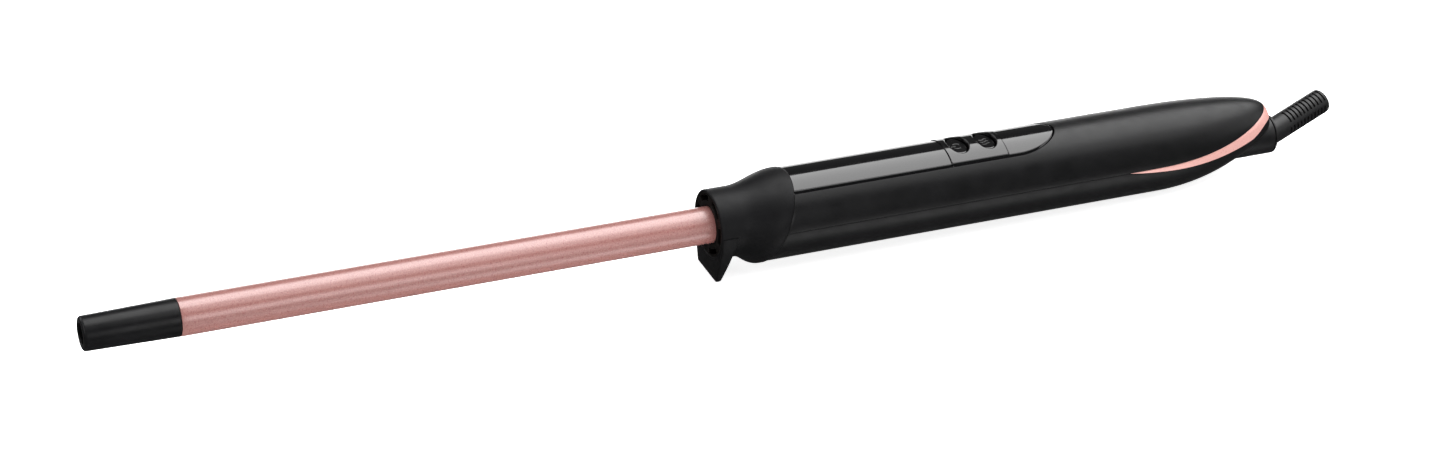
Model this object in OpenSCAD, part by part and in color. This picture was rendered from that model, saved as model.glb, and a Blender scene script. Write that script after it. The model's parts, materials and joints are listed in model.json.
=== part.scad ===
// Slim curling wand: a heated rod with a cool tip, a bell collar with a rest
// foot, a two-part handle with two push buttons, and a swivel cord outlet.
// Origin on the rod's axis at the collar's front face.
// +X runs towards the cord, +Z towards the buttons. Millimetres.

/* [Rod] */
// Diameter of the heated tube
barrel_d = 10; // [9.8:0.1:10.2]
// Length of tube that shows in front of the collar
barrel_len = 143.9; // [120:0.1:160]
// Wall thickness of the tube
barrel_wall = 1; // [0.9:0.05:1.1]
// Length of the cool tip
tip_len = 24.6; // [22:0.1:30]
// Diameter of the cool tip at its free end
tip_end_d = 9; // [8.6:0.1:9.4]
// Diameter of the recess in the tip's end
tip_recess_d = 5.8; // [5.6:0.1:6]
// Depth of that recess
tip_recess_depth = 10.5; // [9:0.5:11]

/* [Collar] */
// Diameter of the collar's neck
neck_d = 19; // [18.8:0.1:19.4]
// Diameter of the collar's crest
crest_d = 24.7; // [24.5:0.1:25]
// Distance from the collar's face to the middle of the handle joint
joint_x = 17.5; // [17:0.1:18]
// Lean of the handle joint plane, in degrees
joint_lean = 20.6; // [18:0.1:22]
// Height of the rest foot below the rod's axis
foot_drop = 14.5; // [13.5:0.1:16]
// Width of the foot's sole
foot_sole_w = 12; // [10:0.5:13]

/* [Handle] */
// Diameter of the handle
handle_d = 24.3; // [24.2:0.1:24.5]
// Station where the tail begins to narrow
tail_x = 134; // [132:1:136]
// Station of the tail's end
tail_end_x = 170.1; // [170:0.1:170.3]
// Height of the shell seam above the axis
seam_z = 0.5; // [0.3:0.1:0.7]
// Thickness of the shell walls
wall = 2.2; // [2:0.1:2.3]
// Width of the gloss inlay
inlay_w = 15.1; // [14:0.1:16]
// Thickness of the gloss inlay
inlay_t = 1.2; // [1:0.1:1.3]
// Station of the inlay's rounded end
inlay_end_x = 102; // [98:0.5:104]
// Station where the trim starts on the seam
trim_x = 121; // [118:0.5:124]
// Thickness of the trim
trim_t = 1.5; // [1.2:0.1:1.6]

/* [Buttons] */
// Station of the power button
power_x = 72.6; // [72:0.1:73]
// Station of the heat setting button
mode_x = 81; // [80.6:0.1:81.2]
// Length of a button opening along the handle
button_l = 5.9; // [5.6:0.1:6]
// Width of a button opening across the handle
button_w = 8.8; // [8:0.1:9]
// How far a button travels
travel = 0.5; // [0.3:0.1:0.5]

/* [Cord outlet] */
// Diameter of the tail boss
boss_d = 10.8; // [10.6:0.1:11]
// Depth of the boss axis below the rod's axis
boss_drop = 2.15; // [2:0.05:2.3]
// Upward angle of the strain relief, in degrees
boot_angle = 19.5; // [18:0.5:21]
// How far the strain relief is turned about the boss axis, in degrees from straight up
boot_turn = 50; // [40:1:60]
// Diameter of the strain relief
boot_d = 7.2; // [7.2:0.1:7.4]
// Distance from the bend to the strain relief's end
boot_len = 21.4; // [21.4:0.2:23]
// Diameter of the cord bore in the strain relief
cord_d = 5.2; // [5:0.1:5.4]

/* [Hidden] */
$fn = 96;

// Rod
barrel_r = barrel_d / 2;
bore_r = barrel_r - barrel_wall;
root_r = barrel_r - 0.4;
root_x = 27;
tip_joint_x = -barrel_len;
tip_x = tip_joint_x - tip_len;
tip_end_r = tip_end_d / 2;
tip_floor_x = tip_x + tip_recess_depth;
tip_head_l = 2.1;
plug_x = tip_joint_x + 8;
anchor_x = plug_x + 8;
heater_x0 = anchor_x + 4;
heater_x1 = -8;
tablet_count = 5;
tablet_gap = 1.5;
tablet_half_t = 1;
strip_t = 0.2;
film_t = 0.15;
stack_half_t = tablet_half_t + strip_t + film_t;

// Collar
neck_r = neck_d / 2;
crest_r = crest_d / 2;
lean = tan(joint_lean);
flare_mean = 10.1;
flare_swing = 2.95;
collar_lip = 1;
ring_r = 8.6;
ring_x0 = 0.15;
ring_x1 = 2.2;
air_r = 8.2;
sleeve_r = 9.95;
sleeve_x = 12;

// Handle
handle_r = handle_d / 2;
inner_r = handle_r - wall;
inlay_r = handle_r - inlay_t;
inlay_side = inlay_w / 2;
inlay_round = 13.6;
inlay_seam_1 = 68;
inlay_seam_2 = 85.2;
inlay_gap = 0.15;
tail_scoop_r = 61;
tail_nose_z = 4.2;
neck_fit = 0.05;
clamp_r = 8.4;
fit_gap = 0.2;
shell_screw_xs = [44, 128];
shell_screw_r = 1.2;
board_z = 1.8;
board_t = 1.2;
board_top = board_z + board_t;
board_x0 = 50;
board_x1 = 124;
board_half_w = 8.2;
board_screw_spots = [[53.5, 0], [120.5, -5.4], [120.5, 5.4]];
board_screw_r = 0.95;
led_x = 92;

// Buttons
button_top = handle_r - 0.75;
flange_top = 8.3;
flange_t = 0.9;
plunger_top = 6;
plunger_r = 1;
switch_w = 4.5;
switch_h = 1.7;

// Cord outlet
boss_r = boss_d / 2;
boss_z = -boss_drop;
socket_x0 = 148;
socket_x1 = 171.8;
bearing_x = 160;
spindle_r = 3.95;
chamber_r = 4.7;
groove_r = 3.1;
spindle_x0 = 150.5;
swivel_x = 172.1;
bend_x = 172.7;
boot_r = boot_d / 2;
stub_len = 9;
stub_r = 2.85;
jacket_r = 3.1;
wire_bore_r = 2.1;
elbow_r = 2.25;
rib_count = 11;
rib_pitch = 1.36;
rib_w = 0.6;
rib_last = 1.85;
big = 400;

// ---- helpers ---------------------------------------------------------

// Round bar along X
module xbar(x0, x1, r) {
    translate([x0, 0, 0]) rotate([0, 90, 0]) cylinder(h = x1 - x0, r = r);
}

// Solid of revolution about X, from [radius, x] points
module xturn(points) {
    rotate([0, 90, 0]) rotate_extrude() polygon(points);
}

// Side-view outline, in [x, z], made as wide as the part
module side_slab(points) {
    rotate([90, 0, 0]) translate([0, 0, -30]) linear_extrude(60) polygon(points);
}

// Everything behind a plane that leans like the handle joint and meets the axis at x
module behind(x) {
    translate([x, 0, 0]) rotate([0, joint_lean, 0])
        translate([0, -big / 2, -big / 2]) cube([big, big, big]);
}

// Closed skin over a list of rings that all have the same number of points
module skin(rings) {
    n = len(rings[0]);
    last = len(rings) - 1;
    sides = [
        for (k = [0:last - 1], i = [0:n - 1])
            let (a = k * n + i, b = k * n + (i + 1) % n)
            each [[a, b, b + n], [a, b + n, a + n]]
    ];
    front = [for (i = [n - 1:-1:0]) i];
    back = [for (i = [0:n - 1]) last * n + i];
    polyhedron(points = [for (ring = rings) each ring], faces = concat(sides, [front, back]));
}

// Ring of a wire's skin at a point, square to direction n
function wire_ring(p, n, r) =
    let (side = cross([0, 0, 1], n), v = side / norm(side), u = cross(n, v))
    [for (a = [0:30:330]) p + r * (cos(a) * u + sin(a) * v)];
function heading(a, b) = (b - a) / norm(b - a);

// Wire through a list of points
module wire(points, r) {
    last = len(points) - 1;
    skin([
        for (i = [0:last])
            let (n = heading(points[max(i - 1, 0)], points[max(i, 1)]))
            let (m = heading(points[min(i, last - 1)], points[min(i + 1, last)]))
            wire_ring(points[i], (n + m) / norm(n + m), r)
    ]);
}

// Screw along +Z with a pan head below z = 0
module screw(head_r, head_h, shank_r, shank_l) {
    difference() {
        translate([0, 0, -head_h]) cylinder(h = head_h, r = head_r, $fn = 40);
        for (a = [0, 90])
            rotate(a) translate([-head_r * 0.6, -0.25, -head_h - 1]) cube([head_r * 1.2, 0.5, 1.9]);
    }
    cylinder(h = shank_l, r = shank_r, $fn = 40);
}

// ---- forms -----------------------------------------------------------

// Top and bottom lines of the tail in side view
function tail_top(x) =
    let (u = max(0, (x - tail_x + 2) / (tail_end_x - tail_x + 2)))
    tail_nose_z + (handle_r - tail_nose_z) * pow(1 - pow(u, 2), 1 / 4.3);
function tail_bottom(x) =
    tail_scoop_r - handle_r - sqrt(pow(tail_scoop_r, 2) - pow(max(0, x - tail_x), 2));
function tail_middle(x) = (tail_top(x) + tail_bottom(x)) / 2;
function tail_radius(x) = (tail_top(x) - tail_bottom(x)) / 2;

// Stations of the tail's rings, closer together towards the nose. The first lies
// inside the straight handle, and every ring is a hair smaller than it.
tail_steps = 18;
tail_slack = 0.03;
tail_stations = concat([tail_x - 2], [
    for (i = [0:tail_steps]) tail_x + (tail_end_x - tail_x) * sin(90 * i / tail_steps)
]);

function tail_ring(x, inset) = [
    for (i = [0:63])
        let (a = 360 * i / 64, r = tail_radius(x) - tail_slack - inset)
        [x, r * sin(a), tail_middle(x) + r * cos(a)]
];

// Outside of the handle, or the same form shrunk by inset
module handle_form(inset = 0) {
    xbar(joint_x - 8, tail_x, handle_r - inset);
    skin([for (x = tail_stations) if (tail_radius(x) - inset > 0.4) tail_ring(x, inset)]);
}

// Side-view edges of the trim: its lower edge is also the shell seam
function trim_low(x) =
    let (u = (x - trim_x) / (tail_end_x - trim_x), t = min(1, max(0, (x - 162) / 6.5)))
    seam_z - 8.4 * u + 11.6 * u * u + 2 * t * t * (3 - 2 * t);
trim_top_x = 168.6;
function trim_high(x) =
    let (u = (x - trim_x) / (trim_top_x - trim_x))
    seam_z + 7.96 * pow(u, 2.9);
trim_xs = [for (i = [0:24]) trim_x + (trim_top_x - trim_x) * sin(90 * i / 24)];
seam_xs = [for (i = [0:26]) trim_x + (tail_end_x + 1 - trim_x) * i / 26];
seam_line = concat([[0, seam_z]], [for (x = seam_xs) [x, trim_low(x)]]);

module above_seam() {
    side_slab(concat(seam_line, [[tail_end_x + 1, 30], [0, 30]]));
}

module below_seam() {
    side_slab(concat(seam_line, [[tail_end_x + 1, -30], [0, -30]]));
}

module trim_band() {
    side_slab(concat(
        [for (x = seam_xs) [x, trim_low(x)]],
        [[tail_end_x + 1, 20], [trim_top_x, 20]],
        [for (i = [24:-1:1]) [trim_xs[i], trim_high(trim_xs[i])]]
    ));
}

// Collar skin: radius and station of a point, from the angle round the axis
function flare_len(a) = flare_mean + flare_swing * cos(a);
function joint_at(a, r) = joint_x + lean * r * cos(a);
function collar_point(r, x, a) = [x, r * sin(a), r * cos(a)];
collar_fn = 72;
flare_steps = 12;

function collar_face(r, x) = [for (i = [0:collar_fn - 1]) collar_point(r, x, 360 * i / collar_fn)];
function collar_flare(s) =
    let (r = neck_r + (crest_r - neck_r) * s * s * (3 - 2 * s))
    [for (i = [0:collar_fn - 1])
        let (a = 360 * i / collar_fn)
        collar_point(r, joint_at(a, r) - collar_lip - flare_len(a) * (1 - s), a)];
function collar_edge(r, back) = [
    for (i = [0:collar_fn - 1])
        let (a = 360 * i / collar_fn)
        collar_point(r, joint_at(a, r) - back, a)
];

module collar_form() {
    edge = 0.8;
    rim = [for (q = [0:22.5:90]) collar_face(neck_r - edge * (1 - sin(q)), edge * (1 - cos(q)))];
    flare = [for (i = [0:flare_steps]) collar_flare(i / flare_steps)];
    skin(concat(rim, flare, [collar_edge(crest_r, 0.2), collar_edge(crest_r - 0.2, 0)]));
}

// Plan outline of the gloss inlay, grown by a margin
module inlay_plan(margin = 0) {
    x0 = inlay_end_x - inlay_round;
    polygon(concat(
        [[0, -inlay_side - margin], [0, inlay_side + margin]],
        [for (a = [90:-5:-90])
            [x0 + (inlay_round + margin) * cos(a), (inlay_side + margin) * sin(a)]]
    ));
}

// Oval outline of a button opening, grown by a margin
module button_oval(margin = 0) {
    polygon([
        for (a = [0:10:350])
            [(button_l / 2 + margin) * cos(a), (button_w / 2 + margin) * sin(a)]
    ]);
}

// Strip of gloss inlay between two stations, with its long edges bevelled
module inlay_strip(x0, x1, proud) {
    edge_z = 9.2;
    lean_in = 0.7;
    intersection() {
        linear_extrude(20) inlay_plan();
        translate([x0, 0, 0]) rotate([90, 0, 90]) linear_extrude(x1 - x0) intersection() {
            difference() {
                circle(r = handle_r + proud);
                circle(r = inlay_r);
            }
            polygon([
                [-inlay_side, 0], [-inlay_side, edge_z], [-inlay_side + lean_in, edge_z + lean_in],
                [-inlay_side + lean_in, 20], [inlay_side - lean_in, 20],
                [inlay_side - lean_in, edge_z + lean_in], [inlay_side, edge_z], [inlay_side, 0]
            ]);
        }
    }
}

// ---- rod -------------------------------------------------------------

module barrel() {
    color("rosybrown") difference() {
        union() {
            xbar(tip_joint_x, 0.3, barrel_r);
            xbar(0, root_x, root_r);
        }
        xbar(tip_joint_x - 1, root_x + 1, bore_r);
    }
}

module tip_cap() {
    edge = 1;
    rim_r = tip_end_r;
    color("#2b2b2e") xturn(concat(
        [[tip_recess_d / 2, tip_x + 0.5], [tip_recess_d / 2 + 0.5, tip_x]],
        [for (a = [0:15:90]) [rim_r - edge * (1 - sin(a)), tip_x + edge * (1 - cos(a))]],
        [
            [barrel_r - 0.05, tip_joint_x], [bore_r, tip_joint_x], [bore_r, plug_x],
            [1.6, plug_x], [1.6, tip_floor_x + tip_head_l], [2.5, tip_floor_x + tip_head_l],
            [2.5, tip_floor_x], [tip_recess_d / 2, tip_floor_x]
        ]
    ));
}

module tip_screw() {
    color("silver") translate([tip_floor_x + tip_head_l, 0, 0]) rotate([0, 90, 0])
        screw(2.5, 1.9, 1.5, anchor_x - 1 - tip_floor_x - tip_head_l);
}

module tip_anchor() {
    color("lightgray") difference() {
        xbar(plug_x, anchor_x, bore_r);
        xbar(plug_x - 1, anchor_x + 1, 1.5);
    }
}

// Half-round bar above the heating stack
module heat_spreader() {
    intersection() {
        xbar(heater_x0, heater_x1, bore_r);
        translate([heater_x0 - 1, -10, stack_half_t]) cube([heater_x1 - heater_x0 + 2, 20, 10]);
    }
}

module upper_heat_spreader() {
    color("gainsboro") heat_spreader();
}

module lower_heat_spreader() {
    color("gainsboro") difference() {
        mirror([0, 0, 1]) heat_spreader();
        translate([-76, -1.2, -bore_r - 1]) cube([80, 2.4, 2.9]);
    }
}

module ptc_tablets() {
    span = heater_x1 - heater_x0 - 4;
    tablet_l = (span - (tablet_count - 1) * tablet_gap) / tablet_count;
    color("dimgray") for (i = [0:tablet_count - 1])
        translate([heater_x0 + 2 + i * (tablet_l + tablet_gap), -2.6, -tablet_half_t])
            cube([tablet_l, 5.2, 2 * tablet_half_t]);
}

module electrode_strips() {
    color("goldenrod") for (s = [0, 1]) mirror([0, 0, s])
        translate([heater_x0 + 1, -2.6, tablet_half_t]) cube([heater_x1 - heater_x0 + 3, 5.2, strip_t]);
}

module insulating_films() {
    color("darkorange") for (s = [0, 1]) mirror([0, 0, s])
        translate([heater_x0 + 0.5, -3.2, tablet_half_t + strip_t])
            cube([heater_x1 - heater_x0 - 1, 6.4, film_t]);
}

module thermistor() {
    color("darkgreen") {
        translate([0, 0, -3]) xbar(-74, -70, 0.8);
        for (y = [-0.4, 0.4]) wire([
            [-70.2, y, -3], [30, y, -3], [36, y - 4.6, -1], [48, y - 4.6, 0],
            [51.5, y - 4.6, board_z - 0.35]
        ], 0.3);
    }
}

module barrel_holder() {
    color("ivory") difference() {
        union() {
            xbar(6, 18, air_r - fit_gap);
            xbar(17, 30, clamp_r);
            xbar(23.4, 25.4, inner_r);
        }
        xbar(5, root_x, root_r);
        xbar(root_x - 1, 31, bore_r);
    }
}

module heater_leads() {
    color("white") {
        wire([[-5, 1.6, 0], [30.4, 1.6, 0], [34, 5.6, 1.2], [36, 5.6, 1.2]], 0.55);
        translate([0, 5.6, 1.2]) xbar(46, 51.5, 0.55);
        wire([[-5, -1.6, 0], [29, -1.6, 0], [35, -6.4, 1.2], [51.5, -6.4, 1.2]], 0.55);
    }
}

module thermal_fuse() {
    color("gold") translate([0, 5.6, 1.2]) xbar(36, 46, 1.8);
}

// ---- collar ----------------------------------------------------------

module collar() {
    color("#3a3b3f") difference() {
        collar_form();
        xturn([
            [0, -1], [ring_r, -1], [ring_r, ring_x1], [air_r, ring_x1], [air_r, 24], [0, 24]
        ]);
        intersection() {
            xbar(0, 40, sleeve_r);
            behind(sleeve_x);
        }
    }
}

module vent_ring() {
    slot_arc = 39;
    color("#343335") difference() {
        xbar(ring_x0, ring_x1, ring_r);
        xbar(ring_x0 - 1, ring_x1 + 1, barrel_r + 0.2);
        for (k = [0:5])
            rotate([0, 90, 0]) rotate([0, 0, 60 * k + 30 - slot_arc / 2])
                rotate_extrude(angle = slot_arc) translate([6.6, ring_x0 - 1]) square([1.5, 4]);
    }
}

module rest_foot() {
    half = foot_sole_w / 2;
    color("#37373a") difference() {
        intersection() {
            side_slab([[0.3, 0], [5, 0], [1.9, -foot_drop + 0.5], [1.5, -foot_drop], [0.3, -foot_drop]]);
            rotate([90, 0, 90]) linear_extrude(20) polygon([
                [-9.9, 0], [-9.3, -4], [-8.3, -8.5], [-half - 0.5, -foot_drop + 0.4],
                [-half, -foot_drop], [half, -foot_drop], [half + 0.5, -foot_drop + 0.4],
                [8.3, -8.5], [9.3, -4], [9.9, 0]
            ]);
        }
        xbar(-1, 20, neck_r);
    }
}

// ---- handle ----------------------------------------------------------

// Hollow inside both shells
module handle_cavity() {
    difference() {
        xbar(joint_x - 8, 146, inner_r);
        xbar(25.6, 27.2, 20);
    }
    xbar(20, 32, clamp_r);
    xturn([[0, 146], [inner_r, 146], [8.6, 150], [0, 150]]);
    translate([149.9, 0, 1]) rotate([0, 81, 0]) cylinder(h = 14.2, r1 = 8.6, r2 = 5);
}

// Half tubes that reach forward into the collar
module neck_tube() {
    difference() {
        intersection() {
            xbar(0, 30, sleeve_r - neck_fit);
            behind(sleeve_x + fit_gap);
        }
        xbar(-1, 31, clamp_r);
        behind(joint_x + 1.5);
    }
}

module shell_blank() {
    difference() {
        intersection() {
            handle_form();
            behind(joint_x);
        }
        intersection() {
            handle_cavity();
            behind(joint_x + 1.5);
        }
        xbar(0, 40, clamp_r);
        translate([0, 0, boss_z]) xbar(149, 180, boss_r);
    }
    neck_tube();
}

module upper_shell() {
    boss_top = inner_r - 0.3;
    color("#26272b") {
        difference() {
            intersection() {
                shell_blank();
                above_seam();
            }
            difference() {
                linear_extrude(20) inlay_plan(0.03);
                xbar(-1, 120, inlay_r);
            }
            for (x = [power_x, mode_x])
                translate([x, 0, 0]) linear_extrude(20) button_oval(fit_gap);
            translate([led_x, 0, 0]) cylinder(h = inlay_r, r = 1.7, $fn = 40);
            xbar(tail_end_x - 1.2, 180, 20);
            difference() {
                trim_band();
                handle_form(trim_t);
            }
        }
        for (x = shell_screw_xs) difference() {
            translate([x, 0, seam_z]) cylinder(h = boss_top - seam_z, r = 2.8, $fn = 48);
            translate([x, 0, -1]) cylinder(h = 8.2, r = shell_screw_r, $fn = 40);
        }
    }
}

module lower_shell() {
    color("#26272b") {
        difference() {
            intersection() {
                shell_blank();
                below_seam();
            }
            for (x = shell_screw_xs)
                translate([x, 0, -20]) cylinder(h = 20, r = 2.5, $fn = 48);
        }
        for (x = shell_screw_xs) difference() {
            intersection() {
                translate([x, 0, -20]) cylinder(h = 20 + (x < trim_x ? seam_z : -1.5), r = 3.4, $fn = 48);
                xbar(x - 5, x + 5, handle_r - 0.05);
            }
            translate([x, 0, -20]) cylinder(h = 30, r = shell_screw_r + 0.25, $fn = 40);
            translate([x, 0, -20]) cylinder(h = 12.5, r = 2.5, $fn = 48);
        }
        for (p = board_screw_spots) difference() {
            intersection() {
                translate([p.x, p.y, -15]) cylinder(h = 15 + board_z, r = 2.2, $fn = 40);
                xbar(p.x - 4, p.x + 4, inner_r + 0.2);
            }
            translate([p.x, p.y, board_z - 7]) cylinder(h = 9, r = board_screw_r, $fn = 40);
        }
    }
}

module shell_screws() {
    color("silver") for (x = shell_screw_xs)
        translate([x, 0, -7.5]) screw(2.3, 1.8, shell_screw_r, 14.5);
}

module front_inlay() {
    color("#17181a") intersection() {
        inlay_strip(10, inlay_seam_1 - inlay_gap / 2, 0);
        behind(joint_x);
    }
}

module control_inlay() {
    color("#17181a") difference() {
        inlay_strip(inlay_seam_1 + inlay_gap / 2, inlay_seam_2 - inlay_gap / 2, 0.2);
        for (x = [power_x, mode_x])
            translate([x, 0, 0]) linear_extrude(20) button_oval();
    }
}

module rear_inlay() {
    color("#17181a") inlay_strip(inlay_seam_2 + inlay_gap / 2, inlay_end_x + 1, 0);
}

module accent_trim() {
    color("#d69a8c") difference() {
        intersection() {
            handle_form();
            trim_band();
        }
        handle_form(trim_t);
        translate([0, 0, boss_z]) xbar(149, 180, boss_r);
    }
}

// ---- electronics -----------------------------------------------------

module circuit_board() {
    color("seagreen") difference() {
        translate([board_x0, -board_half_w, board_z])
            cube([board_x1 - board_x0, 2 * board_half_w, board_t]);
        for (p = board_screw_spots)
            translate([p.x, p.y, 0]) cylinder(h = 9, r = board_screw_r + 0.1, $fn = 40);
    }
}

module board_screws() {
    color("silver") for (p = board_screw_spots)
        translate([p.x, p.y, board_top]) mirror([0, 0, 1]) screw(1.8, 1.3, board_screw_r, 6.5);
}

module controller_chip() {
    color("black") translate([57, -2, board_top]) cube([6, 4, 1.6]);
}

module film_capacitor() {
    color("gold") translate([98, -4, board_top]) cube([13, 8, 5.4]);
}

module triac() {
    color("black") translate([114, -4.5, board_top]) cube([4.4, 9, 5]);
}

module indicator_led() {
    color("orangered") translate([led_x, 0, 0]) {
        translate([0, 0, board_top]) cylinder(h = 6, r = 1.5, $fn = 40);
        translate([0, 0, board_top + 6]) sphere(r = 1.5, $fn = 40);
    }
}

module switch_bodies() {
    color("dimgray") for (x = [power_x, mode_x]) translate([x, 0, board_top]) difference() {
        translate([-switch_w / 2, -switch_w / 2, 0]) cube([switch_w, switch_w, switch_h]);
        translate([0, 0, 0.4]) cylinder(h = 5, r = plunger_r + 0.05, $fn = 40);
    }
}

// ---- buttons ---------------------------------------------------------

// Oval key with a dished top, a retaining flange and a stem
module button_key(x) {
    translate([x, 0, 0]) {
        difference() {
            translate([0, 0, flange_top - 0.1])
                linear_extrude(button_top - flange_top + 0.1) button_oval(-fit_gap);
            translate([0, 0, button_top + 29.7]) sphere(r = 30, $fn = 128);
        }
        translate([0, 0, flange_top - flange_t]) linear_extrude(flange_t)
            intersection() {
                button_oval(0.6);
                square([8, 8.6], center = true);
            }
        translate([0, 0, plunger_top]) cylinder(h = flange_top - plunger_top - 0.5, r = 1.5, $fn = 40);
    }
}

module plunger(x) {
    translate([x, 0, board_top + 1]) cylinder(h = plunger_top - board_top - 1, r = plunger_r, $fn = 40);
}

module power_button() {
    color("#1b1c1f") button_key(power_x);
}

module power_plunger() {
    color("beige") plunger(power_x);
}

module mode_button() {
    color("#1b1c1f") button_key(mode_x);
}

module mode_plunger() {
    color("beige") plunger(mode_x);
}

// ---- cord outlet -----------------------------------------------------

module tail_socket() {
    color("#303134") translate([0, 0, boss_z]) difference() {
        union() {
            xbar(socket_x0, socket_x1, boss_r);
            xbar(socket_x0, 148.9, 5.9);
        }
        xbar(socket_x0 - 1, bearing_x, chamber_r);
        xbar(bearing_x - 1, socket_x1 + 1, spindle_r + 0.05);
    }
}

brush_z = 0.9;

module brush_bars() {
    translate([144.5, 3.98, -brush_z]) cube([13, 0.45, 2 * brush_z]);
    translate([144.5, -3.85, -brush_z]) cube([9, 0.45, 2 * brush_z]);
}

module brush_carrier() {
    color("ivory") translate([0, 0, boss_z]) difference() {
        xbar(146.2, socket_x0, 5.9);
        brush_bars();
        xbar(146, 149, 1.5);
    }
}

module brush_contacts() {
    color("peru") translate([0, 0, boss_z]) brush_bars();
}

module supply_wires() {
    color("royalblue") for (y = [4.2, -4.2]) wire([
        [144.5, y, boss_z], [139, y, boss_z], [129, 1.7 * y, 2.4], [board_x1 + 0.02, 1.7 * y, 2.4]
    ], 0.7);
}

// Carries children to the bend and points their +Z along the strain relief
module on_boot_axis() {
    translate([bend_x, 0, boss_z]) rotate([-boot_turn, 0, 0]) rotate([0, 90 - boot_angle, 0]) children();
}

// Head of the swivel: a thin disc with a wedge under the side that the boot leans to
module swivel_head() {
    difference() {
        translate([0, 0, boss_z]) xbar(swivel_x, swivel_x + 4, boss_r);
        intersection() {
            translate([swivel_x + 0.35, 0, boss_z]) rotate([-boot_turn, 0, 0]) rotate([0, 9, 0])
                translate([0, -20, -20]) cube([20, 40, 40]);
            translate([swivel_x + 0.3, -20, -20]) cube([20, 40, 40]);
        }
    }
}

module cord_swivel() {
    color("#28292c") difference() {
        union() {
            translate([0, 0, boss_z]) {
                xbar(spindle_x0, 158.5, 3);
                xbar(158.2, 158.8, 3.4);
                xbar(158.7, 160.5, groove_r);
                xbar(bearing_x + 0.1, swivel_x + 0.15, spindle_r);
            }
            swivel_head();
            on_boot_axis() translate([0, 0, -3]) cylinder(h = stub_len + 3, r = stub_r);
        }
        translate([0, 0, boss_z]) xbar(spindle_x0 - 1, bend_x, wire_bore_r);
        translate([bend_x, 0, boss_z]) sphere(r = elbow_r);
        on_boot_axis() cylinder(h = stub_len + 1, r = wire_bore_r);
    }
}

// Whole strain relief, before it is parted into its sleeve and its jacket
module relief_form() {
    edge = 0.9;
    difference() {
        on_boot_axis() rotate_extrude() polygon(concat(
            [[stub_r, -1.5], [boot_r, -1.5]],
            [for (a = [0:15:90])
                [boot_r - edge * (1 - cos(a)), boot_len - edge * (1 - sin(a))]],
            [[cord_d / 2, boot_len], [cord_d / 2, stub_len], [stub_r, stub_len]]
        ));
        translate([0, 0, boss_z]) xbar(160, swivel_x + 0.2, 12);
        swivel_head();
    }
}

module strain_relief() {
    color("#222326") intersection() {
        relief_form();
        on_boot_axis() translate([0, 0, -6]) cylinder(h = boot_len + 7, r = jacket_r);
    }
}

module ribbed_jacket() {
    row_arc = 70;
    row_turn = 26.4;
    color("#1e1f22") difference() {
        relief_form();
        on_boot_axis() translate([0, 0, -6]) cylinder(h = boot_len + 7, r = jacket_r);
        for (i = [0:rib_count - 1], k = [0:3])
            on_boot_axis() rotate([0, 0, 90 * k + 45 - row_arc / 2 + row_turn])
                rotate_extrude(angle = row_arc)
                    translate([jacket_r - 0.5, boot_len - rib_last - (i + (k % 2) / 2) * rib_pitch])
                        square([2, rib_w]);
    }
}

module slip_rings() {
    color("gold") translate([0, 0, boss_z]) for (s = [[151.5, 3.3], [155.5, 3.9]]) difference() {
        xbar(s[0], s[0] + 2, s[1]);
        xbar(s[0] - 1, s[0] + 3, 3);
    }
}

module retaining_ring() {
    color("silver") translate([0, 0, boss_z]) difference() {
        xbar(158.8, 159.7, 4.4);
        xbar(158, 161, groove_r);
    }
}

barrel();
tip_cap();
tip_screw();
tip_anchor();
upper_heat_spreader();
lower_heat_spreader();
ptc_tablets();
electrode_strips();
insulating_films();
thermistor();
barrel_holder();
heater_leads();
thermal_fuse();
collar();
vent_ring();
rest_foot();
upper_shell();
lower_shell();
shell_screws();
front_inlay();
control_inlay();
rear_inlay();
accent_trim();
circuit_board();
board_screws();
controller_chip();
film_capacitor();
triac();
indicator_led();
switch_bodies();
power_button();
power_plunger();
mode_button();
mode_plunger();
tail_socket();
brush_carrier();
brush_contacts();
supply_wires();
cord_swivel();
strain_relief();
ribbed_jacket();
slip_rings();
retaining_ring();
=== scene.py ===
"""Looks of a slim curling wand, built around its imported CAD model. Sizes in the code are in mm."""

import json
import math

import bmesh
import bpy
import numpy as np
from mathutils import Matrix, Vector


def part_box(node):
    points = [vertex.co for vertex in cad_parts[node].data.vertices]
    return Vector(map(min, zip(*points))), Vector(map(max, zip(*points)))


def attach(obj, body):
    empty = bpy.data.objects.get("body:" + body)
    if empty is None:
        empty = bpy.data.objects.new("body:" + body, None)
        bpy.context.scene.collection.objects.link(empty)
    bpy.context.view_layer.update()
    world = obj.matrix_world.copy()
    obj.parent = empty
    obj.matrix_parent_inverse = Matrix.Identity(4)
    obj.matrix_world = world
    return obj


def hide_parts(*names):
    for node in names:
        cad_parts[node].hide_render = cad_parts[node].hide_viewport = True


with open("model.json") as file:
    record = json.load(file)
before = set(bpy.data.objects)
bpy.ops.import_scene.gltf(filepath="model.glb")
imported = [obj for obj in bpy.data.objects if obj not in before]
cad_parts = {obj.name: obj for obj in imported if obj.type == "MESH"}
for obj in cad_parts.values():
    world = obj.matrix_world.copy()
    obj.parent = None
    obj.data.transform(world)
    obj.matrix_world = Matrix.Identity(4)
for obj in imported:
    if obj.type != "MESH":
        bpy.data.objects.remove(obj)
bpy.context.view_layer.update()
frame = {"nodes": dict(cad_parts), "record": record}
MM = 0.001


# ---- sizes, from the CAD nodes where they can be read off them ----------

def extent(node):
    """Lowest and highest corner of a CAD node in mm."""
    lo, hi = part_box(node)
    return np.array(lo) / MM, np.array(hi) / MM


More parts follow.
